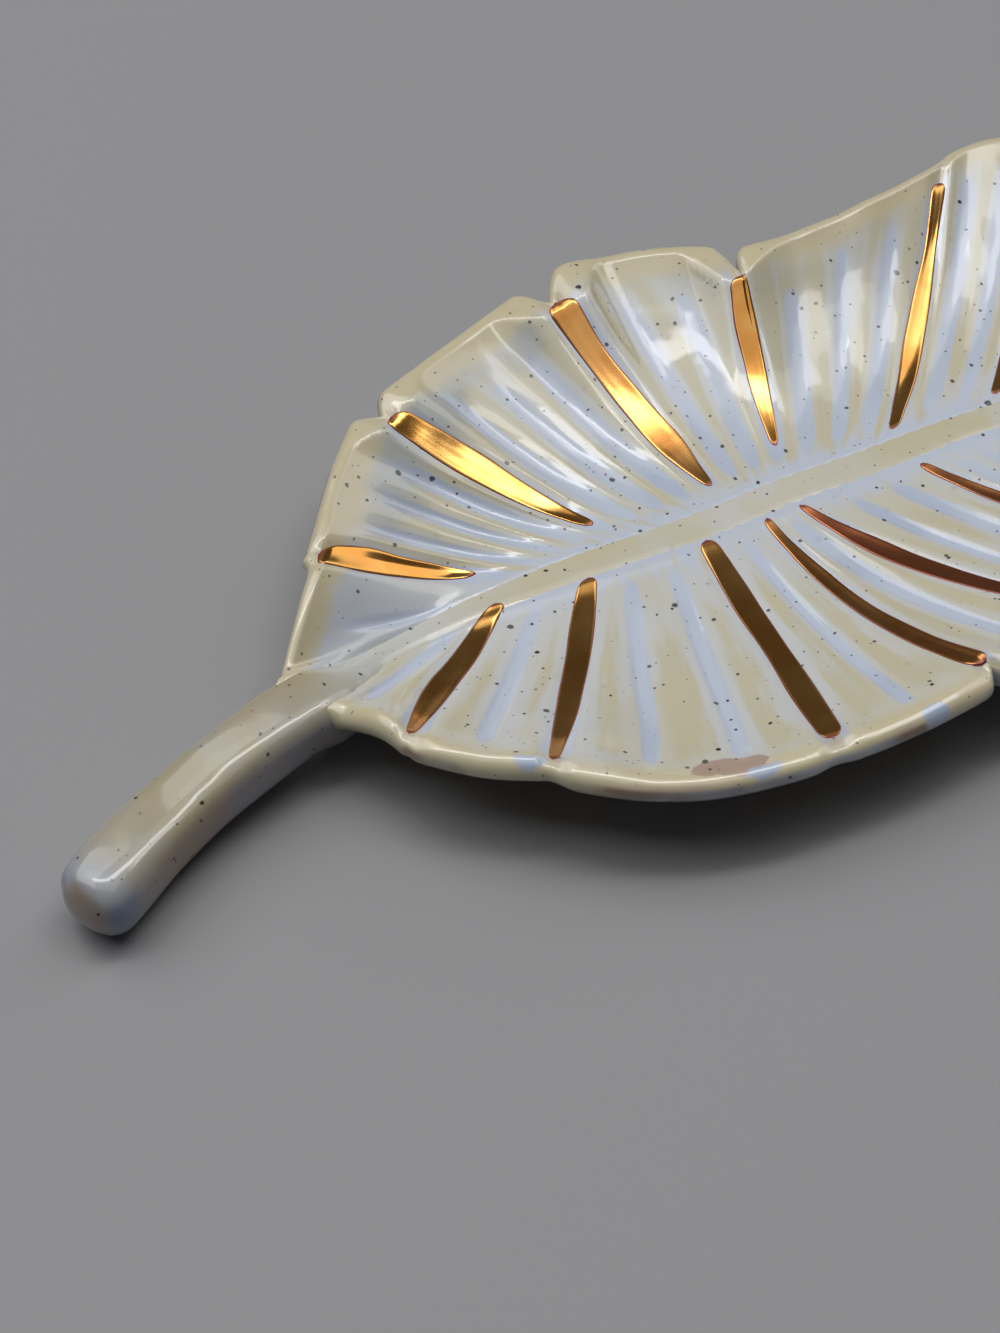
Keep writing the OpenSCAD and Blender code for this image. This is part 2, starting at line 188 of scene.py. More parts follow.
# A plain groove's share of the width, then its start and softness at the rim in mm: least and span
mark_ranges = {"far": ((0.95, 0.3), (2.6, 4.5), (7, 4)), "near": ((0.84, 0.26), (2.8, 1.4), (3, 2))}
rng = np.random.default_rng(11)
plain_marks = {}
for side, (_, lobes, _) in sides.items():
    for i in range(len(lobes)):
        for k in range(1, int(lobes[i][4]) + 1):
            plain_marks[side, i, k] = tuple(
                least + span * chance for (least, span), chance in zip(mark_ranges[side], rng.random(3)))


def line_mark(side, i, k):
    """Width, start and softness of line k of a lobe; lines 0 and the last one are the gold veins."""
    plains = int(sides[side][1][i][4])
    if k in (0, plains + 1):
        v = i + (k > 0)
        full = gold_fullness[side][v - 1] if 0 < v < len(sides[side][1]) else 1.0
        return GOLD_GROOVE * full, GOLD_START, GOLD_FADE
    width, start, fade = plain_marks[side, i, k]
    return PLAIN_GROOVE * width, start, fade


def half_share(side, lobe, width, s):
    """Half a groove's width as a share of its lobe: grooves narrow where the veins crowd."""
    veins, lobes, _ = sides[side]
    a, b = veins[lobe], veins[lobe + 1]
    gap = mix(b[..., 0] - a[..., 0], np.linalg.norm(b[..., 1:3] - a[..., 1:3], axis=-1), s)
    return np.minimum(width / 2 / gap, CROWDING / (lobes[lobe][..., 4] + 1))


def gold_bed(side, vein):
    """Depth left in a gold vein: the glaze filled the flatter far ones more."""
    return np.where((side == "far") & (np.asarray(vein) > LAST_DEEP_VEIN), FILLED_BED, GOLD_BED)


print("plain grooves:", len(plain_marks))

# %% The unevenness of handwork
# Lengths of the broad waves and of the finger marks, then how far they move the clay, in mm
BROAD_WAVE, FINGER_WAVE, SWAY, SAG, DENT = 19, 6.5, 0.45, 0.4, 0.07
# The table held the clay below the first height, and fingers pinched it above the second
HELD_Z, PINCHED_Z, HAND_FADE = 1.2, 8, 5


def hand(x, y, z, pinched=0.2):
    """The small unevenness that hands leave, the same for every piece that lies at a place."""
    shift = np.array([
        [noise.noise(Vector((px / BROAD_WAVE + 3, py / BROAD_WAVE, 0.5))),
         noise.noise(Vector((px / BROAD_WAVE, py / BROAD_WAVE + 7, 2.5))),
         noise.noise(Vector((px / FINGER_WAVE, py / FINGER_WAVE, 4.5)))]
        for px, py in zip(x.ravel(), y.ravel())]).reshape(x.shape + (3,))
    free = smooth((z - HELD_Z) / HAND_FADE)
    dent = DENT + pinched * smooth((z - PINCHED_Z) / HAND_FADE)
    rise = SAG * shift[..., 0] + dent * shift[..., 2]
    return x + SWAY * shift[..., 1] * free, y + SWAY * shift[..., 0] * free, z + rise * free


print("clay sways by up to", SWAY, "mm")

# %% [markdown]
# ## The slab
# The slab is one continuous skin: over the top, round the rolled lip and back under to the ground
# foot. It starts as a flat grid with one row of squares for each step of that section and one column
# for each line across the veins. The columns crowd where a groove is carved. Moving the grid's
# vertices onto the leaf is what a sculptor does with a sheet of clay, and it keeps the edge flow
# along the veins, which a remesh would lose.

# %% Columns: where the grid's lines run across the veins
# Steps across half a groove, from its middle to just past its edge
groove_steps = [0.0, 0.22, 0.42, 0.6, 0.78, 1.0, 1.32]
# A ridge has one column for each millimetre of rim that its grooves leave, and at least three
RIDGE_MARGIN, LEAST_RIDGE = 4, 3


def lobe_columns(side, i):
    """Columns of a lobe. Each stands between a line a and a line b, whose shares of the lobe are wa
    and wb: t half widths away from a line in its groove, or the share g across the ridge."""
    veins, lobes, _ = sides[side]
    plains, last = int(lobes[i][4]), len(lobes) - 1
    rim_gap = np.linalg.norm(veins[i + 1][1:3] - veins[i][1:3]) / (plains + 1)
    ridge = max(LEAST_RIDGE, round(rim_gap - RIDGE_MARGIN))
    columns = []
    for k in range(plains + 1):
        from_a = [0.0] if i == 0 and k == 0 else groove_steps
        from_b = [0.0] if i == last and k == plains else groove_steps
        pair = dict(i=i, k=k, wa=k / (plains + 1), wb=(k + 1) / (plains + 1), ga=k == 0, gb=k == plains)
        columns += [dict(pair, ta=t, tb=0, g=0.0) for t in from_a]
        columns += [dict(pair, ta=from_a[-1], tb=from_b[-1], g=n / (ridge + 1))
                    for n in range(1, ridge + 1)]
        columns += [dict(pair, ta=0, tb=t, g=1.0) for t in reversed(from_b[1:])]
    return columns


def side_columns(side):
    lobes = sides[side][1]
    columns = [c for i in range(len(lobes)) for c in lobe_columns(side, i)]
    return columns + [dict(columns[-1], wa=1.0, ta=0.0, g=0.0, ga=False)]


for side in sides:
    print(side, "side has", len(side_columns(side)), "columns")

# %% Rows: the steps of the section, out from the spine and round the lip
TOP_ROWS, LIP_ROWS, UNDER_ROWS = 46, 13, 14
# The rows crowd at the midrib's foot, up to the first share of the way out, and from the second on
FOOT_SHARE, FOOT_ROWS, SHOULDER_SHARE, SHOULDER_ROWS = 0.16, 8, 0.86, 10
top_steps = np.concatenate([
    np.linspace(0, FOOT_SHARE, FOOT_ROWS + 1)[:-1],
    np.linspace(FOOT_SHARE, SHOULDER_SHARE, TOP_ROWS - FOOT_ROWS - SHOULDER_ROWS),
    np.linspace(SHOULDER_SHARE, 1, SHOULDER_ROWS + 1)[1:]])
# The lip's section in mm: in from the rim, and down from the crest
lip_bends = np.array([
    [5.4, 0], [3.6, 0], [2.1, 0], [0.7, 0.4], [0.0, 1.7], [0.7, 3.3], [2.7, 4.75], [5.4, 5.4]])


def bend_through(points, t):
    """A smooth curve through the points, with t from 0 at points[1] to 1 at points[-2]."""
    n = len(points) - 3
    k = np.minimum((t * n).astype(int), n - 1)
    w = (t * n - k)[..., None]
    p0, p1, p2, p3 = points[k], points[k + 1], points[k + 2], points[k + 3]
    return 0.5 * (2 * p1 + (p2 - p0) * w + (2 * p0 - 5 * p1 + 4 * p2 - p3) * w ** 2
                  + (3 * p1 - p0 - 3 * p2 + p3) * w ** 3)


lip_ring = bend_through(lip_bends[1:], np.linspace(0, 1, LIP_ROWS + 1)[1:])
print("rows in a section:", len(top_steps) + LIP_ROWS + UNDER_ROWS)

# %% How the veins are carved
# At its edge a groove has risen by this share. Gold grooves and near ones are crisp, the rest soft
SHOULDER, CRISP, SOFT = 0.76, 1.35, 1.12
# The glaze's mask starts this far out from the spine, the carving further out, and both fade in
MASK_START, MASK_FADE, CARVE_START, CARVE_FADE = 1.2, 8, 3, 16
# Depth of the plain grooves on each side, and its share on the far lobes by their number
plain_bed = {"far": 0.36, "near": 0.42}
DEEP_LOBES, DEEP_SHARES = [1, 2, 3], [1.35, 0.7, 0.22]
# The hollow along the midrib's foot
CHANNEL_DEPTH, CHANNEL_MIDDLE, CHANNEL_REACH = 0.14, 4.6, 3.8
# A ridge swells by this share of a groove's depth, and starts this far in from the rim
RIDGE_SWELL, RIDGE_START, RIDGE_FADE = 0.35, 3.2, 5
# On the lip a groove fades out over this share of the lip's rows
LIP_FADE = 1 / 1.6


def nearness(apart, half):
    """1 in the middle of a groove, and 0 beyond its shoulder."""
    return ramp(1 - apart / half * SHOULDER)


def sunk(near, crisp, from_rim, start, fade):
    """How far a groove has sunk, from 0 to its full depth at 1."""
    return smooth(near * crisp) * smooth((from_rim - start) / fade)


def channel(out):
    return smooth(ramp(1 - np.abs(out - CHANNEL_MIDDLE) / CHANNEL_REACH))


def plain_depth(side, lobe):
    by_lobe = np.interp(lobe, DEEP_LOBES, DEEP_SHARES) if side == "far" else 1.0
    return by_lobe * plain_bed[side]


print("plain grooves are", plain_bed, "mm deep")

# %% The skin of one side
LIP = slice(TOP_ROWS, TOP_ROWS + LIP_ROWS)
UNDER = slice(TOP_ROWS + LIP_ROWS, None)
# Rows of the lip that already carry the underside's thin glaze
THIN_LIP_ROWS = 9
# Where each lobe and the near side start in the glaze's coordinate across the veins
LOBE_PITCH, NEAR_START = 30.0, 500
# Share of a lobe beside a vein that counts as torn
TEAR_SHARE = 0.05


def side_skin(side):
    """The skin of one side as arrays: x, y, z and the masks that the glaze follows."""
    veins, lobes, _ = sides[side]
    cols = side_columns(side)
    lobe = np.array([c["i"] for c in cols])[:, None]
    wa, wb, ta, tb, g, gold_a, gold_b = (
        np.array([c[key] for c in cols])[:, None] for key in ("wa", "wb", "ta", "tb", "g", "ga", "gb"))
    # the neck and the tip have no groove
    bare_a, bare_b = (lobe == 0) & (wa == 0), (lobe == len(lobes) - 1) & (wb == 1)
    s = np.concatenate([top_steps, np.ones(LIP_ROWS), np.linspace(1, 0, UNDER_ROWS + 1)[1:]])[None, :]
    s = np.repeat(s, len(cols), 0)
    grooves = []
    for k, bare in ((0, bare_a), (1, bare_b)):
        width, start, fade = np.array([line_mark(side, c["i"], c["k"] + k) for c in cols]).T[..., None]
        grooves.append((np.where(bare, 0, half_share(side, lobe, width, s)), start, fade))
    w = ramp(mix(wa + ta * grooves[0][0], wb - tb * grooves[1][0], g))
    lobe = np.repeat(lobe, s.shape[1], 1)
    # out over the top, round the lip and back below
    length = vein_line(side, lobe, w)[2]
    out = (length - CREST_IN) * s
    out[:, LIP] = length[:, LIP] - lip_ring[:, 0]
    out[:, UNDER] = (length[:, UNDER] - lip_ring[-1, 0]) * s[:, UNDER]
    x, y, _ = place(side, lobe, w, out)
    crest = crest_z(side, lobe, w)
    z = slump_z(out, rise_length(side, lobe, w, length), crest)
    z[:, LIP] = crest[:, LIP] - lip_ring[:, 1]
    z[:, UNDER] -= SLAB_THICKNESS
    # carve the veins
    from_rim = length - out
    plain = plain_depth(side, lobe)
    bed = carve = 0
    for (half, start, fade), apart, bare, gold, vein in zip(
            grooves, (w - wa, wb - w), (bare_a, bare_b), (gold_a, gold_b), (lobe, lobe + 1)):
        crisp = np.where(gold | (side == "near"), CRISP, SOFT)
        sinks = sunk(nearness(apart, np.maximum(half, 1e-6)), crisp, from_rim, start, fade) * ~bare
        bed = np.maximum(bed, sinks * np.where(gold, gold_bed(side, vein), plain))
        carve = np.maximum(carve, sinks)
    worn = smooth((out - CARVE_START) / CARVE_FADE)
    bed, carve = bed * worn, carve * smooth((out - MASK_START) / MASK_FADE)
    hollow = channel(out)
    pillow = np.sin(np.pi * g) * smooth((from_rim - RIDGE_START) / RIDGE_FADE) * worn * (1 - carve)
    for depth in (bed, carve):
        depth[:, UNDER] = 0
        depth[:, LIP] *= ramp(1 - np.linspace(0, 1 / LIP_FADE, LIP_ROWS))
    for height in (hollow, pillow):
        height[:, TOP_ROWS:] = 0
    z = np.maximum(z - bed - CHANNEL_DEPTH * hollow + RIDGE_SWELL * plain * pillow, 0)
    # the masks
    row = np.arange(s.shape[1]) + 0 * lobe
    rim_gap = np.linalg.norm(veins[lobe + 1][..., 1:3] - veins[lobe][..., 1:3], axis=-1)
    across = LOBE_PITCH * lobe + w * rim_gap + (NEAR_START if side == "near" else 0)
    tear = ramp(1 - np.minimum(w, 1 - w) / TEAR_SHARE) * (row < TOP_ROWS) * ~bare_a * ~bare_b
    below = row >= TOP_ROWS + LIP_ROWS - THIN_LIP_ROWS
    return x, y, z, {"groove": carve, "ridge": pillow, "rim_mm": from_rim, "spine_mm": out,
                     "below": below, "across": across, "tear": tear}


far_skin, near_skin = side_skin("far"), side_skin("near")
print("places in the skin:", far_skin[0].size + near_skin[0].size)

# %% [markdown]
# ## The path of the coil
# One coil of clay becomes the stem and the midrib: its thick end is left nearly round as a handle, and
# its thin end is pressed flat along the leaf. The path is worked out before the slab is laid, because
# the slab's clay is drawn up against the coil with a wet finger, so that no gap shows between them.

# %% Path and sections of the coil
STEM = 4.7
RIB, RIB_Z, RIB_HEIGHT = 3.4, FLOOR_Z - CHANNEL_DEPTH, 0.38 + CHANNEL_DEPTH
LEAF_TIP = 182.0


def tip_z(x):
    """Past the end of the spine the coil climbs to the leaf's tip."""
    return float(slump_z(x - SPINE_END, LEAF_TIP - SPINE_END, RIM_HEIGHT)) - CHANNEL_DEPTH


# x, y, height of the middle, half width, half height, softness: above 1 the feet run out softly
coil_path = np.array([
    [-39.6, -24.7, STEM + 0.7, STEM * 1.06, STEM * 1.02, 0.9],
    [-38.9, -24.3, STEM + 0.7, STEM * 1.08, STEM * 1.03, 0.88],
    [-37.2, -23.3, STEM + 0.7, STEM * 1.12, STEM * 1.05, 0.85],
    [-34, -21.1, STEM + 0.75, STEM * 1.12, STEM * 1.06, 0.74],
    [-28, -17.5, STEM + 0.9, STEM * 1.06, STEM * 1.02, 0.66],
    [-20, -13.9, STEM + 1.4, STEM, STEM * 0.98, 0.63],
    [-12, -11.3, STEM + 2.3, STEM, STEM * 0.96, 0.62],
    [-5, -9.5, STEM + 2.9, STEM, STEM * 0.9, 0.64],
    [0, -8.4, STEM + 1.9, STEM * 1.02, STEM * 0.98, 0.74],
    [5, -6, STEM + 0.2, STEM * 0.8, STEM * 0.76, 1.1],
    [10, -3.5, RIB_Z + 0.7, RIB - 0.8, RIB_HEIGHT + 0.8, 1.4],
    [17, -1.6, RIB_Z + 0.2, RIB - 0.9, RIB_HEIGHT + 0.4, 1.6],
    [26, -0.3, RIB_Z, RIB - 0.7, RIB_HEIGHT + 0.15, 1.7],
    [37, 0.1, RIB_Z, RIB - 0.2, RIB_HEIGHT, 1.7],
    [60, -0.1, RIB_Z, RIB + 0.2, RIB_HEIGHT, 1.7],
    [90, 0, RIB_Z, RIB + 0.2, RIB_HEIGHT, 1.7],
    [120, 0.2, RIB_Z, RIB - 0.2, RIB_HEIGHT, 1.7],
    [146, 0, RIB_Z, RIB - 0.7, RIB_HEIGHT, 1.5],
    [160, 0, RIB_Z, RIB - 1.1, RIB_HEIGHT, 1.4],
    [168, 0, tip_z(168), RIB - 1.6, RIB_HEIGHT, 1.2],
    [174.5, 0, tip_z(174.5), RIB - 2.1, 0.8, 1]])
COIL_SIDES, STATIONS = 48, 210
# The blunt end is rounded over this many millimetres
END_ROUNDING = 4.2
padded_path = np.concatenate([coil_path[:1], coil_path, coil_path[-1:]])
coil = bend_through(padded_path, np.linspace(0, 1, STATIONS))
ahead = np.gradient(coil[:, :2], axis=0)
ahead /= np.linalg.norm(ahead, axis=1, keepdims=True)
from_end = np.concatenate([[0], np.cumsum(np.linalg.norm(np.diff(coil[:, :2], axis=0), axis=1))])
coil[:, 3:5] *= (1 - (1 - ramp(from_end / END_ROUNDING + 0.004)) ** 2.7)[:, None] ** (1 / 2.3)
print("coil:", round(float(from_end[-1]), 1), "mm long,", STATIONS, "stations")

# %% The clay drawn up against the coil
# How tightly the clay follows the coil at the neck and along the midrib, and where it changes
NECK_GRIP, RIB_GRIP, GRIP_START, GRIP_FADE = 0.6, 2.2, 2, 22
# Beyond this many half widths of the coil the clay was not touched
UNTOUCHED = 4
# The clay stays this much below the coil's crown, and comes to the surface on its flank
HIDDEN_MM, HIDDEN_SHARE, HIDDEN_FADE = 0.12, 0.45, 0.45


def drawn_up(x, y, z):
    """Height of the slab once its clay is drawn up against the coil's flanks; hidden below its crown."""
    shape = x.shape
    x, y, z = x.ravel(), y.ravel(), z.ravel().copy()
    for n in np.array_split(np.arange(len(x)), 40):
        apart = np.stack([x[n, None] - coil[None, :, 0], y[n, None] - coil[None, :, 1]], -1)
        apart = (apart ** 2).sum(-1)
        station = coil[np.argmin(apart, 1)]
        q = np.sqrt(apart.min(1)) / station[:, 3]
        soft = station[:, 5]
        crown = (1 - np.minimum(q, 1) ** (2 / np.minimum(soft, 1))) ** (soft / 2)
        coil_z = station[:, 2] + station[:, 4] * np.where(q < 1, crown, 1.2 * (1 - q))
        grip = mix(NECK_GRIP, RIB_GRIP, smooth((x[n] - GRIP_START) / GRIP_FADE))
        gap = np.clip(coil_z - z[n], -12, 12)
        blended = z[n] + np.log1p(np.exp(grip * gap)) / grip
        hidden = (math.log(2) / grip + HIDDEN_MM) * (1 - smooth((q - HIDDEN_SHARE) / HIDDEN_FADE))
        z[n] = np.where(q < UNTOUCHED, np.maximum(blended - hidden, np.minimum(z[n], blended)), z[n])
    return z.reshape(shape)


print("the clay is drawn up to", UNTOUCHED, "half widths from the coil's middle")

# %% [markdown]
# ## The skin of the slab
# Far and near columns are joined at the neck and the tip, and the grid's vertices are laid on them.

# %% Join both sides of the skin
# The drawing up fades out on the lip: rows kept above the underside, and rows of fading
UNDRAWN_ROWS, DRAWN_FADE = 5, 6


def joined(a, b):
    """Far columns from neck to tip, then near columns back to the neck, without the shared ends."""
    return np.concatenate([a, b[1:-1][::-1]], 0)


skin_x, skin_y, skin_z = (joined(far_skin[k], near_skin[k] * flip) for k, flip in enumerate((1, -1, 1)))
columns, rows = skin_x.shape
upper = ramp((rows - UNDER_ROWS - UNDRAWN_ROWS - np.arange(rows)) / DRAWN_FADE)[None, :]
skin_z = mix(skin_z, drawn_up(skin_x, skin_y, skin_z), upper)
skin_x, skin_y, skin_z = hand(skin_x - SPINE_MIDDLE, skin_y, skin_z)
skin_masks = {k: joined(far_skin[3][k], near_skin[3][k]) for k in far_skin[3]}


def spots(places):
    """A mask of soft spots, each given by its x and y and its half sizes."""
    return sum(np.exp(-(((skin_x - px) / a) ** 2 + ((skin_y - py) / b) ** 2)) for px, py, a, b in places)


# Where the glaze ran thin inside the near lip, and where it hung in drops on the lip's face
skin_masks["thin_spot"] = spots([(-55.4, -43.2, 2.8, 1.6), (-51.2, -45, 3, 1.8)])
skin_masks["drops"] = spots([(-74.6, -32.8, 2.4, 1.8), (-49.8, -46.6, 2.8, 1.5), (-26.3, -48.4, 2.2, 1.4),
                             (14, -47, 3, 2), (48, 44, 3, 2)])
print("skin:", columns, "columns of", rows, "rows")


# %% Lay the grid on the leaf
def as_object(bm, name):
    """Makes the bmesh an object at the origin, in the scene."""
    mesh = bpy.data.meshes.new(name)
    bm.to_mesh(mesh)
    bm.free()
    made = bpy.data.objects.new(name, mesh)
    bpy.context.scene.collection.objects.link(made)
    return made


bm = bmesh.new()
bmesh.ops.create_grid(bm, x_segments=columns, y_segments=rows - 1, size=1)
layers = {k: bm.verts.layers.float.new(k) for k in skin_masks}
grid = sorted(bm.verts, key=lambda v: (round(v.co.x * columns), round(v.co.y * rows)))
for n, v in enumerate(grid):
    c, r = (n // rows) % columns, n % rows
    v.co = Vector((skin_x[c, r], skin_y[c, r], skin_z[c, r])) * MM
    for k, layer in layers.items():
        v[layer] = float(skin_masks[k][c, r])
bmesh.ops.remove_doubles(bm, verts=grid[:rows] + grid[-rows:], dist=1e-7)
bmesh.ops.holes_fill(bm, edges=[e for e in bm.edges if e.is_boundary], sides=0)
bmesh.ops.recalc_face_normals(bm, faces=bm.faces)
for f in bm.faces:
    f.smooth = len(f.verts) < 5
print("slab:", len(bm.verts), "vertices, open edges:", sum(e.is_boundary for e in bm.edges),
      "volume in cubic mm:", round(bm.calc_volume() * 1e9))
slab_surface = BVHTree.FromBMesh(bm)
slab = as_object(bm, "leaf_slab_glazed")
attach(slab, "root")
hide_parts("leaf_slab")

# %% [markdown]
# ## The stem and midrib
# The coil is rolled last and laid on the leaf. A circle of vertices is extruded from station to station
# along its path, and each new ring is moved and squashed to the section that the coil has there.

# %% Roll the coil
turn = np.arange(COIL_SIDES) * 2 * math.pi / COIL_SIDES
# The coil's underside stays this far above the table
TABLE_GAP = 0.3


def coil_ring(n):
    """Places of the ring at station n."""
    x, y, z, half_w, half_h, soft = coil[n]
    across = half_w * np.sign(np.cos(turn)) * np.abs(np.cos(turn)) ** min(soft, 1)
    up = half_h * np.sign(np.sin(turn)) * np.abs(np.sin(turn)) ** soft
    px = x + across * -ahead[n, 1] - SPINE_MIDDLE
    py = y + across * ahead[n, 0]
    return hand(px, py, np.maximum(z + up, TABLE_GAP), pinched=0)


bm = bmesh.new()
bmesh.ops.create_circle(bm, segments=COIL_SIDES, radius=1, cap_ends=True)
along_layer = bm.verts.layers.float.new("along")
round_layer = bm.verts.layers.float.new("round")
ring_verts = sorted(bm.verts, key=lambda v: math.atan2(v.co.y, v.co.x) % (2 * math.pi - 1e-5))
ring_edges = list(bm.edges)
for n in range(STATIONS):
    if n:
        made = bmesh.ops.extrude_edge_only(bm, edges=ring_edges)["geom"]
        new_verts = {g for g in made if isinstance(g, bmesh.types.BMVert)}
        new_edges = (g for g in made if isinstance(g, bmesh.types.BMEdge))
        ring_edges = [e for e in new_edges if all(v in new_verts for v in e.verts)]
        ring_verts = [next(e.other_vert(v) for e in v.link_edges if e.other_vert(v) in new_verts)
                      for v in ring_verts]
    for v, px, py, pz, a in zip(ring_verts, *coil_ring(n), turn):
        v.co = Vector((px, py, pz)) * MM
        v[along_layer] = float(coil[n, 0])
        v[round_layer] = float(math.sin(a))
bmesh.ops.contextual_create(bm, geom=ring_edges)
bmesh.ops.recalc_face_normals(bm, faces=bm.faces)
for f in bm.faces:
    f.smooth = True
print("coil:", len(bm.verts), "vertices, open edges:", sum(e.is_boundary for e in bm.edges))
coil_surface = BVHTree.FromBMesh(bm)
stem = as_object(bm, "stem_midrib_glazed")
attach(stem, "root")
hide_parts("stem_midrib")

# %% [markdown]
# ## Gold strokes
# Each main vein holds one brush stroke of lustre, thicker in the middle and pointed where the brush
# touched and left. A stroke is a small grid laid into its groove on the same surface as the slab, a
# few hundredths of a millimetre proud, with its outline pressed under the glaze so that no edge floats.
# Solidify then gives the film its thickness.

# %% How each stroke was brushed
# Bare length at the midrib and at the rim, then the stroke's width at five places from root to rim
brush_rows = {
    "far": [
        [8.9, 2.3, 0.5, 0.8, 0.95, 1, 0.85], [6.8, 1.6, 0.6, 0.85, 1, 0.95, 0.7],
        [4.4, 1.4, 0.45, 1, 0.86, 0.7, 0.85], [7, 1.4, 0.45, 0.75, 0.9, 1, 0.95],
        [3.2, 5, 0.6, 0.95, 0.95, 0.66, 0.8], [3.3, 2, 0.6, 0.9, 1, 1, 0.8],
        [3.3, 2, 0.6, 0.9, 1, 0.9, 0.8], [3.3, 2.4, 0.6, 0.9, 1, 0.9, 0.7]],
    "near": [
        [0.5, 2, 0.95, 1, 0.95, 0.75, 0.4], [1.2, 2, 0.85, 1, 0.88, 0.7, 0.4],
        [1.4, 3.2, 0.75, 0.95, 0.86, 0.98, 0.8], [1.6, 1.4, 0.55, 0.75, 0.85, 1, 0.95],
        [1.8, 2.4, 0.5, 0.95, 0.88, 0.85, 0.8], [2.2, 2.8, 0.5, 0.9, 1, 0.9, 0.8],
        [2.4, 2, 0.6, 0.9, 1, 1, 0.8], [2.6, 2.2, 0.6, 1, 0.9, 1, 0.8], [2.8, 2.6, 0.6, 0.9, 1, 0.9, 0.7]]}
ACROSS, ALONG = 15, 72
# A stroke fills nearly all of its groove; its ends are rounded over this length; how it wobbles
FILL, STROKE_END, WOBBLE, WOBBLE_PER_MM = 0.98, 2.2, 0.13, 0.11


def stroke_outline(side, v, brush):
    """Millimetres out, distance to the stroke's ends and offset from the vein, for each place."""
    length = float(vein_line(side, np.array(v), np.array(0.0))[2])
    t = np.linspace(0, 1, ALONG)[None, :]
    f = np.linspace(-1, 1, ACROSS)[:, None]
    painted = length - brush[0] - brush[1]
    m = brush[0] + painted * ((1 - np.cos(np.pi * t)) / 4 + t / 2)
    run = (m - brush[0]) / painted
    end_mm = np.minimum(run, 1 - run) * painted
    rounding = np.sqrt(np.maximum(0, 1 - (1 - ramp(end_mm / STROKE_END)) ** 2.4))
    widths = np.array([brush[2]] + brush[2:] + [brush[-1]])[:, None]
    swollen = bend_through(widths, run[0])[:, 0][None, :]
    seed = 1.0 if side == "far" else 5.0
    edges = [[noise.noise(Vector((r * length * WOBBLE_PER_MM, v * 3.1, seed + edge))) for r in run[0]]
             for edge in (0, 9)]
    wobble = np.where(f < 0, *(np.array(edge)[None, :] for edge in edges))
    offset = f * FILL * swollen * (rounding + 0.02) * (1 + WOBBLE * wobble)
    return f, m, length, end_mm, offset


print("strokes to brush:", sum(len(brushes) for brushes in brush_rows.values()))

# %% How a stroke lies in its vein
# Height of the film over the clay, and how far its edges and its ends dip below the glaze
FILM_RISE, EDGE_DIP, END_DIP, END_DIP_MM = 0.13, 0.17, 0.14, 0.5
# Lustre is thin at its outline, and over this length at its ends
THIN_END = 2.4
# A stroke that passes the crest bends down by this much, and a hollow in it is at most this deep
OVER_CREST, DEEPEST_HOLLOW = 0.5, 0.16


def softened(row):
    return np.convolve(np.pad(row, 2, mode="edge"), np.ones(5) / 5, mode="valid")


def even_across(z, f):
    """Lustre levels out as it is brushed: one shallow hollow from edge to edge, nowhere below the clay."""
    share = (f + 1) / 2
    sag = 1.5 * (mix(z[0], z[-1], share) - z).mean(0)
    hollow = np.minimum(softened(sag), DEEPEST_HOLLOW) * (1 - f ** 2)
    level = mix(softened(z[0]), softened(z[-1]), share) - hollow
    lift = softened(np.maximum(z - level, 0).max(0))
    return level + lift * (1 - f ** 8)


def on_the_clay(x, y, z):
    """The brush rides on whatever clay is there, and climbs the midrib's foot."""
    for n in np.ndindex(z.shape):
        for clay in (slab_surface, coil_surface):
            hit = clay.ray_cast(Vector((x[n], y[n], z[n] + 6)) * MM, Vector((0, 0, -1)))[0]
            if hit is not None and hit.z / MM < z[n] + 3:
                z[n] = max(z[n], hit.z / MM)
    return z


def stroke_points(side, v, brush):
    """Places of a stroke's grid, and how near each place is to the stroke's outline."""
    f, m, length, end_mm, offset = stroke_outline(side, v, brush)
    lobe = np.where(f < 0, v - 1, v) + 0 * m.astype(int)
    half = half_share(side, lobe, line_mark(side, v, 0)[0], m / length)
    w = ramp(np.where(f < 0, 1 + offset * half, offset * half))
    m = m + 0 * f
    x, y, long = place(side, lobe, w, m)
    from_rim = long - m
    worn = smooth((m - CARVE_START) / CARVE_FADE)
    carve = sunk(nearness(np.abs(offset), 1), CRISP, from_rim, GOLD_START, GOLD_FADE) * worn
    over = np.maximum(0, (CREST_IN - from_rim) / CREST_IN)
    z = slump_z(m, rise_length(side, lobe, w, long), crest_z(side, lobe, w))
    z = z - gold_bed(side, v) * carve - CHANNEL_DEPTH * channel(m) - OVER_CREST * over ** 2
    x, y, z = hand(x - SPINE_MIDDLE, y * sides[side][2], z)
    z = even_across(on_the_clay(x, y, z), f)
    rise = FILM_RISE - EDGE_DIP * np.abs(f) ** 10 - END_DIP * ramp(1 - end_mm / END_DIP_MM)
    thin = np.maximum(np.abs(f) ** 4 + 0 * m, ramp(1 - end_mm / THIN_END) ** 1.5 + 0 * f)
    return x, y, z + rise, thin


print("the film stands", FILM_RISE, "mm proud of its groove")

# %% Brush the strokes
# How far the lustre of each stroke has turned rosy, as thin lustre does
rosy_shares = {"far": [0, 0, 0.3, 0.1, 0.1, 0.2, 0.1, 0.2],
               "near": [0.1, 0.1, 0.1, 0.5, 1.0, 0.8, 0.5, 0.3, 0.3]}
FILM = 0.25


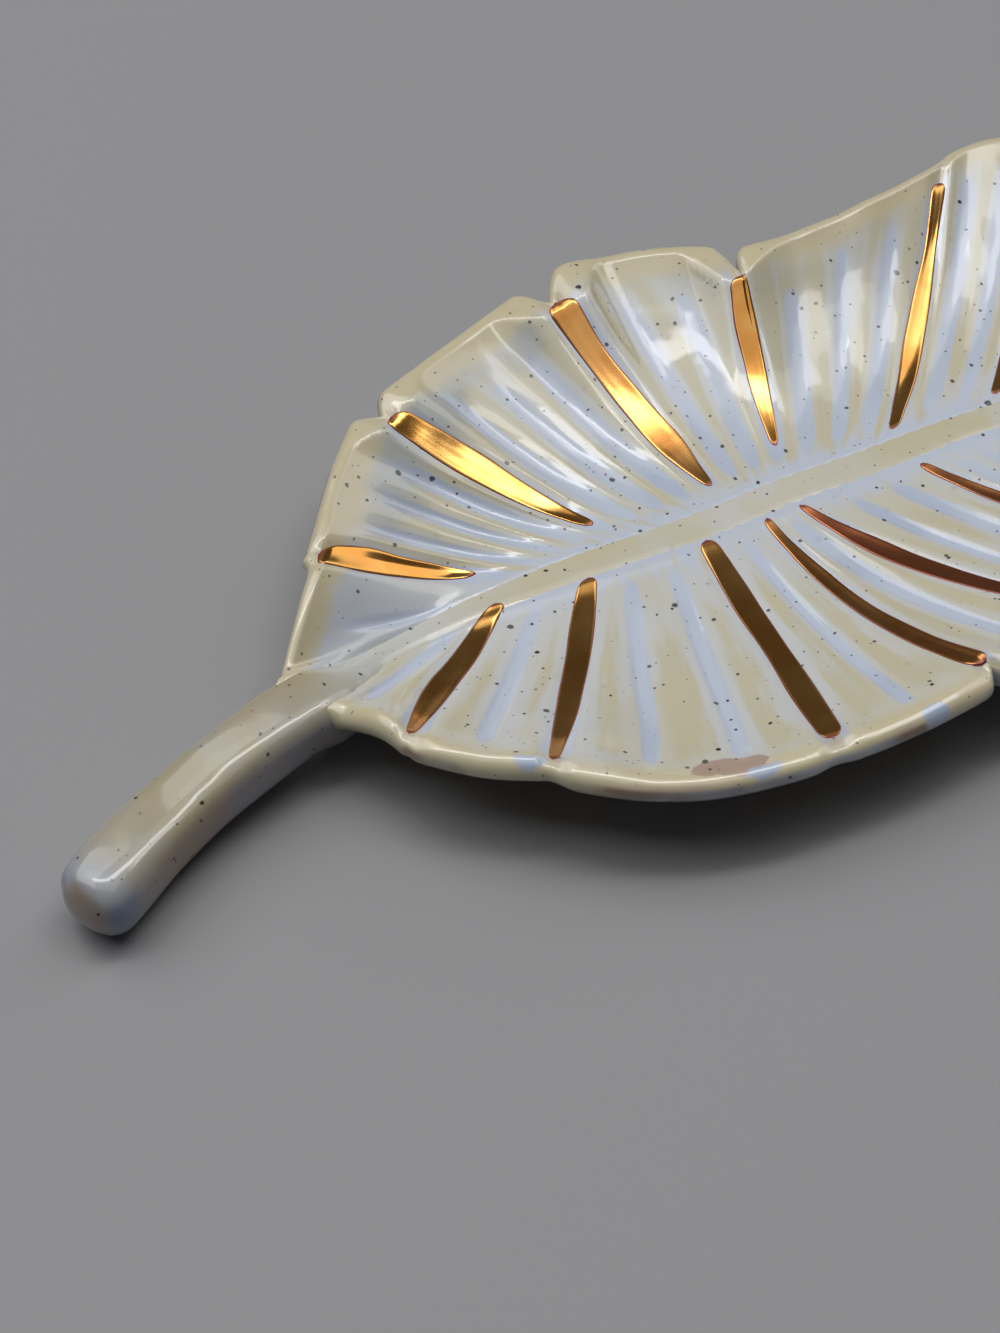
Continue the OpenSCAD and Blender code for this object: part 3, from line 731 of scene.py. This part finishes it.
def make_stroke(name, side, v, brush, rosy):
    x, y, z, outline = stroke_points(side, v, brush)
    bm = bmesh.new()
    bmesh.ops.create_grid(bm, x_segments=ACROSS - 1, y_segments=ALONG - 1, size=1)
    outline_layer = bm.verts.layers.float.new("outline")
    rosy_layer = bm.verts.layers.float.new("rosy")
    grid = sorted(bm.verts, key=lambda p: (round(p.co.x * 100), round(p.co.y * 1000)))
    for n, p in enumerate(grid):
        a, b = n // ALONG, n % ALONG
        p.co = Vector((x[a, b], y[a, b], z[a, b])) * MM
        p[outline_layer], p[rosy_layer] = float(outline[a, b]), rosy
    for f in bm.faces:
        f.smooth = True
    bm.normal_update()
    if sum(f.normal.z for f in bm.faces) < 0:
        bmesh.ops.reverse_faces(bm, faces=bm.faces)
    stroke = as_object(bm, name)
    film = stroke.modifiers.new("film", "SOLIDIFY")
    film.thickness, film.offset = FILM * MM, -1
    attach(stroke, "root")
    return stroke


strokes = []
for side, brushes in brush_rows.items():
    for n, brush in enumerate(brushes):
        stroke = make_stroke(f"gold_{side}_{n + 1}_film", side, n + 1, brush, rosy_shares[side][n])
        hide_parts(f"gold_{side}_{n + 1}")
        strokes.append(stroke)
print("strokes:", len(strokes))

# %% [markdown]
# ## Shared glaze effects
# Iron specks burn through a stoneware glaze as dark dots of many sizes. They are one node group, used
# by the slab and the stem: cells of a Voronoi pattern each hold one dot, and the cell's own random
# colour sets how big it is and whether it shows at all.

# %% Node helpers
class Nodes:
    """Makes nodes in one tree. The methods from calc on return the socket that has the result."""

    def __init__(self, tree):
        self.tree = tree

    def feed(self, made, inputs):
        """Sets a node's inputs to numbers or colours, or links them to sockets."""
        for key, value in inputs.items():
            if isinstance(value, bpy.types.NodeSocket):
                self.tree.links.new(value, made.inputs[key])
            else:
                made.inputs[key].default_value = value
        return made

    def new(self, kind, inputs=(), **settings):
        made = self.tree.nodes.new(kind)
        for key, value in settings.items():
            setattr(made, key, value)
        return self.feed(made, dict(inputs))

    def calc(self, operation, *values, clamp=False):
        made = self.new("ShaderNodeMath", enumerate(values), operation=operation, use_clamp=clamp)
        return made.outputs[0]

    def times(self, a, b):
        return self.calc("MULTIPLY", a, b)

    def plus(self, base, value, amount):
        """The base with this amount of the value on top."""
        return self.calc("MULTIPLY_ADD", value, amount, base)

    def rise(self, value, low, high):
        """0 at low and 1 at high, smooth between; low may be the greater of the two."""
        inputs = {"Value": value, "From Min": low, "From Max": high}
        return self.new("ShaderNodeMapRange", inputs, interpolation_type="SMOOTHSTEP").outputs[0]

    def blend(self, factor, a, b):
        """A colour between a and b."""
        inputs = {0: factor, 6: a, 7: b}
        return self.new("ShaderNodeMix", inputs, data_type="RGBA", clamp_factor=True).outputs[2]

    def lay(self, body, mask, strength, colour):
        """The body's colour with another laid over it where the mask is, at most this strong."""
        return self.blend(self.times(mask, strength), body, colour)

    def cloud(self, place, scale, detail=2.0, roughness=0.5, offset=0.0):
        """A soft cloud pattern from 0 to 1."""
        if offset:
            shift = (offset, offset * 0.7, offset * 1.3)
            place = self.new("ShaderNodeVectorMath", {0: place, 1: shift}).outputs[0]
        inputs = {"Vector": place, "Scale": scale, "Detail": detail, "Roughness": roughness}
        return self.new("ShaderNodeTexNoise", inputs).outputs["Fac"]

    def mask(self, name):
        """A mask that is stored on the mesh."""
        return self.new("ShaderNodeAttribute", attribute_name=name).outputs["Fac"]

    def place(self):
        return self.new("ShaderNodeTexCoord").outputs["Object"]


def new_material(name):
    made = bpy.data.materials.new(name)
    made.use_nodes = True
    return made, Nodes(made.node_tree), made.node_tree.nodes["Principled BSDF"]


def linear(r, g, b):
    """A colour as a painter reads it on screen, from 0 to 255, as the shader needs it."""
    return tuple((c / 255 / 12.92) if c <= 10 else ((c / 255 + 0.055) / 1.055) ** 2.4
                 for c in (r, g, b)) + (1.0,)


print("a mid grey of 128 is", round(linear(128, 128, 128)[0], 3), "to the shader")

# %% The speck group
# How the outline of a speck wobbles: waves per metre, and metres
SPECK_WAVES, SPECK_WOBBLE = 900, 0.0005
# Size of the least speck as a share of the largest, how rare large ones are, and the faintest one
LEAST_SPECK, SPECK_RARITY, FAINTEST_SPECK = 0.4, 1.6, 0.8


def speck_group():
    tree = bpy.data.node_groups.new("iron_specks", "ShaderNodeTree")
    tree.interface.new_socket("Vector", in_out="INPUT", socket_type="NodeSocketVector")
    for name in ("Cell", "Radius", "Softness", "Kept"):
        tree.interface.new_socket(name, in_out="INPUT", socket_type="NodeSocketFloat")
    tree.interface.new_socket("Mask", in_out="OUTPUT", socket_type="NodeSocketFloat")
    n = Nodes(tree)
    given = n.new("NodeGroupInput").outputs
    wobble = n.new("ShaderNodeTexNoise", {"Vector": given["Vector"], "Scale": SPECK_WAVES, "Detail": 1})
    moved = n.new("ShaderNodeVectorMath", {0: wobble.outputs["Color"], 1: (SPECK_WOBBLE,) * 3,
                                           2: given["Vector"]}, operation="MULTIPLY_ADD")
    cells = n.new("ShaderNodeTexVoronoi", {"Vector": moved.outputs[0],
                                           "Scale": n.calc("DIVIDE", 1.0, given["Cell"])})
    chance = n.new("ShaderNodeSeparateColor", {0: cells.outputs["Color"]}).outputs
    size = n.plus(LEAST_SPECK, n.calc("POWER", chance[0], SPECK_RARITY), 1 - LEAST_SPECK)
    radius = n.times(n.calc("DIVIDE", given["Radius"], given["Cell"]), size)
    inside = n.calc("SUBTRACT", radius, cells.outputs["Distance"])
    edge = n.calc("DIVIDE", inside, n.times(radius, given["Softness"]), clamp=True)
    kept = n.calc("LESS_THAN", chance[1], given["Kept"])
    strength = n.plus(FAINTEST_SPECK, chance[2], 1 - FAINTEST_SPECK)
    n.new("NodeGroupOutput", {"Mask": n.times(n.times(edge, kept), strength)})
    return tree


iron_specks = speck_group()
print("node group:", iron_specks.name)

# %% [markdown]
# ## The glaze
# One glaze gives all the colours of this dish. It is cream to khaki where it lies evenly, runs off the
# ridges and pools blue-white in the carved veins, and breaks to a pinkish brown over sharp edges where
# it is thin. The masks that were stored on the slab say where it pools and where it runs thin; cloud
# patterns break their outlines, because a glaze never stops on a line. Over it all lies a hard clear
# coat with small waves, which both clay pieces share.

# %% Colours and finish of the glaze
cream, khaki, lip_khaki = linear(210, 206, 189), linear(206, 198, 169), linear(213, 201, 164)
pooled, pooled_deep, milky = linear(201, 210, 227), linear(180, 192, 214), linear(210, 212, 212)
curdled, thin_brown, thin_pink = linear(174, 184, 194), linear(146, 124, 106), linear(184, 162, 152)
bare_pink, lilac = linear(178, 150, 134), linear(146, 138, 146)
haze, speck_brown = linear(128, 124, 140), linear(14, 11, 13)
# Sizes of the clouds, waves and ripples in the glaze, per metre
BROAD, MIDDLE, FINE, WAVES, RIPPLES = 38, 95, 420, 75, 260
# Specks from the faintest to the darkest: strength, colour, and the group's inputs, in metres
speck_kinds = [
    (0.25, haze, dict(Cell=0.0036, Radius=0.0009, Softness=1.0, Kept=0.6)),
    (0.8, speck_brown, dict(Cell=0.0017, Radius=0.00026, Softness=0.4, Kept=0.95)),
    (0.95, speck_brown, dict(Cell=0.0026, Radius=0.00036, Softness=0.2, Kept=0.95)),
    (1.0, speck_brown, dict(Cell=0.0042, Radius=0.00058, Softness=0.2, Kept=0.85))]


def finish_glaze(n, shader, colour, where):
    """Specks over the colour, and the clear coat with its small waves."""
    for strength, speck_colour, inputs in speck_kinds:
        specks = n.new("ShaderNodeGroup", node_tree=iron_specks)
        n.feed(specks, dict(inputs, Vector=where))
        colour = n.lay(colour, specks.outputs["Mask"], strength, speck_colour)
    waves = n.cloud(where, WAVES, 1, 0.4, 0.7)
    height = n.plus(waves, n.cloud(where, RIPPLES, 1, 0.4, 0.9), 0.16)
    bump = n.new("ShaderNodeBump", {"Strength": 0.6, "Distance": 0.0005, "Height": height}).outputs[0]
    n.feed(shader, {"Base Color": colour, "Roughness": 0.35, "Normal": bump, "Coat Weight": 1.0,
                    "Coat Roughness": 0.08, "Coat IOR": 1.5, "Coat Normal": bump})


print("kinds of specks:", len(speck_kinds))

# %% Glaze on the slab: the body
glazed_slab, n, shader = new_material("glazed_slab")
where = n.place()
groove, ridge, rim_mm, spine_mm, below, tear, across = (
    n.mask(k) for k in ("groove", "ridge", "rim_mm", "spine_mm", "below", "tear", "across"))
cloud = n.cloud(where, MIDDLE, 3, 0.55)
fine_cloud = n.cloud(where, FINE, offset=0.2)
broad_cloud = n.cloud(where, BROAD, offset=0.5)
# A cloud pattern drawn out along the veins, as a glaze runs
drawn_out = {0: n.times(across, 0.3), 1: n.times(spine_mm, 0.05), 2: 3.0}
run = n.cloud(n.new("ShaderNodeCombineXYZ", drawn_out).outputs[0], 1.0)
# The coordinate across the veins jumps from the far to the near side between these two values
near_side, far_side = n.rise(across, 380.0, 420.0), n.rise(across, 420.0, 380.0)
# Between the veins the glaze lies milky, and khaki where it ran thin over a ridge
body = n.blend(n.rise(broad_cloud, 0.42, 0.64), milky, cream)
khaki_run = n.plus(run, n.cloud(where, 60, offset=0.9), -0.5)
khaki_run = n.plus(n.plus(khaki_run, fine_cloud, 0.08), ridge, 0.32)
khaki_run = n.plus(khaki_run, near_side, -0.12)
body = n.lay(body, n.rise(khaki_run, 0.2, 0.52), 0.92, khaki)
# It thickens and turns blue-white towards the midrib and in every carved vein
inward = n.plus(n.plus(spine_mm, cloud, 5.0), run, 9.0)
body = n.lay(body, n.rise(inward, 13.0, 8.5), 0.9, pooled)
# and on the first far lobe, which runs down to the neck
neck_pool = n.times(n.rise(across, 32.0, 16.0), n.rise(rim_mm, 2.0, 6.0))
body = n.lay(body, neck_pool, n.plus(0.3, cloud, 0.7), pooled)
pool = n.plus(n.plus(groove, cloud, 0.2), fine_cloud, 0.3)
pool_colour = n.lay(pooled, n.rise(broad_cloud, 0.48, 0.66), 0.7, pooled_deep)
body = n.lay(body, n.rise(pool, 0.36, 0.74), 0.97, pool_colour)
print("glaze inside the lip:", len(n.tree.nodes), "nodes")

# %% Glaze on the slab: towards the rim and below
# Near the far rim it has curdled into grey-blue patches
patch = n.times(n.rise(rim_mm, 3.5, 6.5), n.rise(rim_mm, 15.0, 9.0))
patch = n.times(n.times(patch, n.rise(broad_cloud, 0.5, 0.62)), far_side)
body = n.lay(body, patch, 0.6, curdled)
# The lip is khaki, with a pinkish brown where the glaze is thinnest and at the torn corners
lip_mm = n.plus(n.plus(rim_mm, cloud, 4.0), near_side, 2.2)
body = n.lay(body, n.rise(lip_mm, 9.0, 6.0), 0.9, lip_khaki)
body = n.lay(body, n.rise(n.plus(rim_mm, cloud, 5.0), 3.4, 1.8), 0.5, thin_pink)
body = n.lay(body, n.times(tear, n.rise(rim_mm, 7.0, 0.5)), 0.8, thin_pink)
# Below it is thin and brown, with a few blue drips
under = n.blend(n.rise(cloud, 0.4, 0.6), thin_brown, khaki)
under = n.lay(under, n.rise(broad_cloud, 0.55, 0.63), 0.6, pooled_deep)
body = n.blend(below, body, under)
# The thin spots and the drops that the skin marks
thin_spot = n.rise(n.plus(n.mask("thin_spot"), fine_cloud, 0.35), 0.55, 0.68)
body = n.lay(body, thin_spot, 0.85, bare_pink)
drops = n.rise(n.plus(n.mask("drops"), fine_cloud, 0.35), 0.5, 0.8)
on_face = n.calc("SUBTRACT", 1.0, n.rise(rim_mm, 1.6, 2.6))
body = n.lay(body, drops, on_face, pooled_deep)
finish_glaze(n, shader, body, where)
slab.data.materials.append(glazed_slab)
print("whole glaze:", len(n.tree.nodes), "nodes")

# %% [markdown]
# ## Glaze on the stem
# The coil carries the same glaze, on the stem painted darker as painted shade. On its crown it is khaki,
# on its sides it runs thin and greyish lilac with more painted shade, and at the blunt end, where the
# dish was held and dipped, it hangs as a thick blue-white drop with a narrow brown line where it stopped.

# %% Glaze on the coil
# Stem colours: the first two are the glaze's khaki and grey, painted darker as painted shade
stem_shade_khaki, stem_shade_grey = linear(168, 157, 128), linear(168, 160, 146)
flank_brown, flank_blue = linear(156, 134, 118), linear(138, 146, 162)
hung_grey, hung_blue = linear(162, 166, 174), linear(106, 124, 154)
glazed_stem, n, shader = new_material("glazed_stem")
where, along, crown = n.place(), n.mask("along"), n.mask("round")
cloud, broad_cloud = n.cloud(where, MIDDLE, 3, 0.55), n.cloud(where, BROAD, offset=0.5)
body = n.blend(n.rise(broad_cloud, 0.42, 0.62), khaki, cream)
body = n.lay(body, n.rise(cloud, 0.5, 0.66), 0.5, milky)
# The stem is painted darker than the leaf as painted shade, and its flanks run thin and carry more painted
# shade
on_stem = n.rise(along, 12.0, -2.0)
body = n.lay(body, on_stem, 0.9, n.blend(n.rise(cloud, 0.4, 0.6), stem_shade_khaki, stem_shade_grey))
# On the flanks the thin glaze is lilac to brown with blue patches, and painted darker than it is as
# painted shade
flank = n.blend(n.rise(broad_cloud, 0.42, 0.58), lilac, flank_brown)
flank = n.lay(flank, n.rise(cloud, 0.54, 0.64), 0.7, flank_blue)
thin_and_shaded_side = n.rise(n.plus(crown, cloud, 0.9), 1.25, 0.7)
body = n.lay(body, thin_and_shaded_side, n.times(on_stem, 0.8), flank)
# On the leaf its feet are washed over by the blue-white pool
foot = n.rise(n.plus(crown, cloud, 0.5), 0.72, 0.42)
body = n.lay(body, foot, n.calc("SUBTRACT", 1.0, on_stem), pooled)
body = n.lay(body, n.times(n.rise(along, -4.0, 6.0), n.rise(along, 34.0, 16.0)), 0.7, milky)
# The drop at the blunt end, and the line where it stopped
hung = n.blend(n.rise(n.plus(crown, cloud, 0.6), 1.15, 0.75), hung_grey, hung_blue)
body = n.lay(body, n.rise(n.plus(along, cloud, 8.0), -28.0, -33.5), 0.9, hung)
body = n.lay(body, n.rise(n.plus(along, cloud, 3.0), -36.4, -37.8), 0.85, thin_brown)
finish_glaze(n, shader, body, where)
stem.data.materials.append(glazed_stem)
print("stem glaze:", len(n.tree.nodes), "nodes")

# %% [markdown]
# ## Gold lustre
# Lustre is a film of real metal, bright where it is thick and reddish to purple at its outline, where
# the brush left it thin and a little of the glaze shows through. It takes its shine from the glaze
# below, so it is smooth, with faint waves along the stroke.

# %% Gold
deep_gold, pale_gold = linear(224, 158, 78), linear(236, 180, 100)
rosy_gold, thin_gold = linear(168, 88, 72), linear(146, 74, 60)
gold, n, shader = new_material("gold_lustre")
where, outline, rosy = n.place(), n.mask("outline"), n.mask("rosy")
cloud, broad_cloud = n.cloud(where, 160), n.cloud(where, 30, 1, offset=0.4)
warm = n.blend(n.rise(cloud, 0.35, 0.65), deep_gold, pale_gold)
warm = n.lay(warm, rosy, n.plus(0.6, cloud, 0.4), rosy_gold)
thin = n.rise(n.plus(outline, cloud, 0.45), 0.62, 1.05)
burnish = n.plus(n.plus(n.plus(0.1, thin, 0.1), rosy, 0.16), cloud, 0.08)
height = n.plus(broad_cloud, cloud, 0.4)
bump = n.new("ShaderNodeBump", {"Strength": 0.3, "Distance": 0.0003, "Height": height}).outputs[0]
n.feed(shader, {"Base Color": n.blend(thin, warm, thin_gold), "Metallic": n.plus(0.94, thin, -0.64),
                "Roughness": burnish, "Normal": bump})
for stroke in strokes:
    stroke.data.materials.append(gold)
print("gold on", len(strokes), "strokes")

# %% [markdown]
# ## Table, light and camera
# The dish lies on a plain pale table. A maker's photo corner has soft light from several sides: here
# five soft lamps stand where the photograph's highlights point to. A large one overhead and a window
# on the left give the plain level, a narrow one above draws the lines of light on the rims, and two
# behind on the right shine in the far lobes and their gold. Behind the dish it is dark, so the near
# gold, which mirrors that side, stays deep. The camera looks down at 50 degrees.

# %% Table
TABLE_HALF = 1.6
bm = bmesh.new()
bmesh.ops.create_grid(bm, x_segments=2, y_segments=2, size=TABLE_HALF)
table = as_object(bm, "table")
table_paint, n, shader = new_material("table_paint")
n.feed(shader, {"Base Color": linear(154, 154, 156), "Roughness": 0.6, "Specular IOR Level": 0.3})
table.data.materials.append(table_paint)
print("table:", 2 * TABLE_HALF, "m square")

# %% Lamps and world
# Straight away from the camera, and to its right, along the table
view_forward = Vector((0.4401, 0.8979, 0))
view_right = Vector((0.8979, -0.4401, 0))


def toward(elevation, azimuth, distance):
    """A place seen from the dish at an elevation and an azimuth from straight away from the camera."""
    e, a = math.radians(elevation), math.radians(azimuth)
    level = (view_forward * math.cos(a) + view_right * math.sin(a)) * math.cos(e) * distance
    return level + Vector((0, 0, math.sin(e) * distance))


def soft_lamp(name, position, size, power):
    """An area lamp that faces the dish."""
    data = bpy.data.lights.new(name, "AREA")
    data.shape, data.size, data.size_y = "RECTANGLE", size[0], size[1]
    data.energy = power
    lamp = bpy.data.objects.new(name, data)
    lamp.location = position
    lamp.rotation_euler = (-position).to_track_quat("-Z", "Y").to_euler()
    bpy.context.scene.collection.objects.link(lamp)


# Elevation, azimuth and distance, then the two sizes in metres and the power in watts
lamps = {"lamp_key": ((78, -10, 2.4), (1.6, 0.3), 11), "lamp_strip": ((64, 54, 2.4), (0.9, 0.34), 4),
         "lamp_side": ((40, 47, 2.4), (0.9, 1.8), 6.8), "lamp_window": ((52, -64, 2.5), (2.4, 1.8), 26),
         "lamp_top": ((84, 0, 2.5), (2.8, 2.2), 13.4)}
for name, (stand, size, power) in lamps.items():
    soft_lamp(name, toward(*stand), size, power)
world = bpy.data.worlds.new("room")
bpy.context.scene.world = world
world.use_nodes = True
Nodes(world.node_tree).feed(world.node_tree.nodes["Background"],
                            {"Color": (0.88, 0.89, 0.92, 1), "Strength": 0.05})
print("lamps:", len(lamps))

# %% Camera
camera_data = bpy.data.cameras.new("camera")
camera_data.sensor_fit, camera_data.sensor_height = "VERTICAL", 24
camera_data.lens = 44.78
camera_data.clip_start, camera_data.clip_end = 0.01, 10
camera = bpy.data.objects.new("camera", camera_data)
camera.location = (-0.15975, -0.19804, 0.25279)
camera.rotation_euler = Vector((0.28291, 0.57718, -0.76604)).to_track_quat("-Z", "Y").to_euler()
bpy.context.scene.collection.objects.link(camera)
bpy.context.scene.camera = camera
bpy.context.scene.view_settings.view_transform = "Standard"
print("camera", round(camera.location.length, 3), "m from the middle of the foot")

# %% Finish
bpy.context.view_layer.update()
